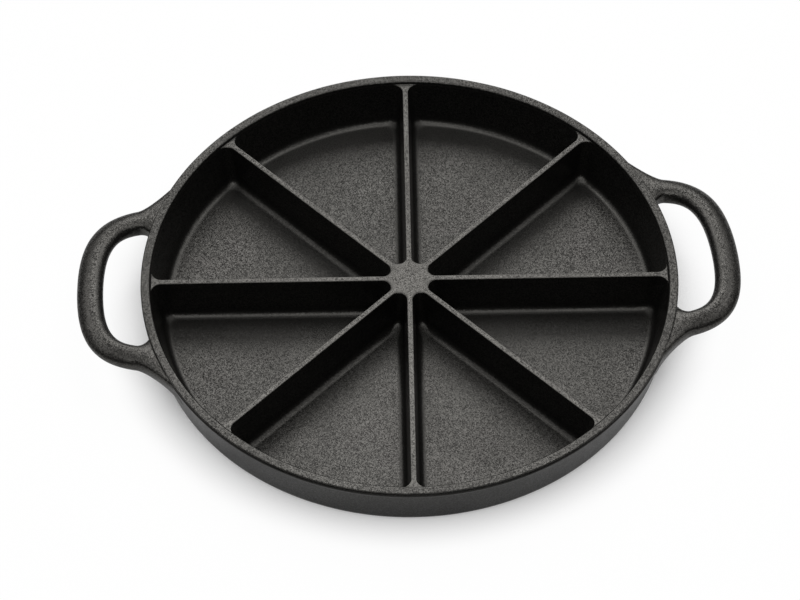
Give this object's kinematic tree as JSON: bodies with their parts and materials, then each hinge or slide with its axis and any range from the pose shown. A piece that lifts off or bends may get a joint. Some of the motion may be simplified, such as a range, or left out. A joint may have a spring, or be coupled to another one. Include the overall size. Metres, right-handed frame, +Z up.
{
  "type": "cornbread wedge pan",
  "caption": "Round shallow cast-iron baking pan whose straight dividers run from a central hub to the tapered side wall and make wedge pockets, with a loop handle at each side.",
  "frame": {"origin": "centre of the round flat underside, on the pan's axis, at the height of the surface it stands on", "axes": "+Z up along the pan's axis, +X along the first divider and towards the right handle, +Y towards the back as pictured"},
  "size_m": [0.3293, 0.266, 0.0285],
  "materials": {
    "seasoned_iron": "seasoned black cast iron with a fine sand-cast grain, low sheen"
  },
  "bodies": {
    "root": {"floor_plate": "seasoned_iron", "side_wall": "seasoned_iron", "rim_lip": "seasoned_iron", "hub": "seasoned_iron", "divider_1": "seasoned_iron", "divider_2": "seasoned_iron", "divider_3": "seasoned_iron", "divider_4": "seasoned_iron", "divider_5": "seasoned_iron", "divider_6": "seasoned_iron", "divider_7": "seasoned_iron", "divider_8": "seasoned_iron", "left_handle": "seasoned_iron", "right_handle": "seasoned_iron"}
  },
  "joints": []
}
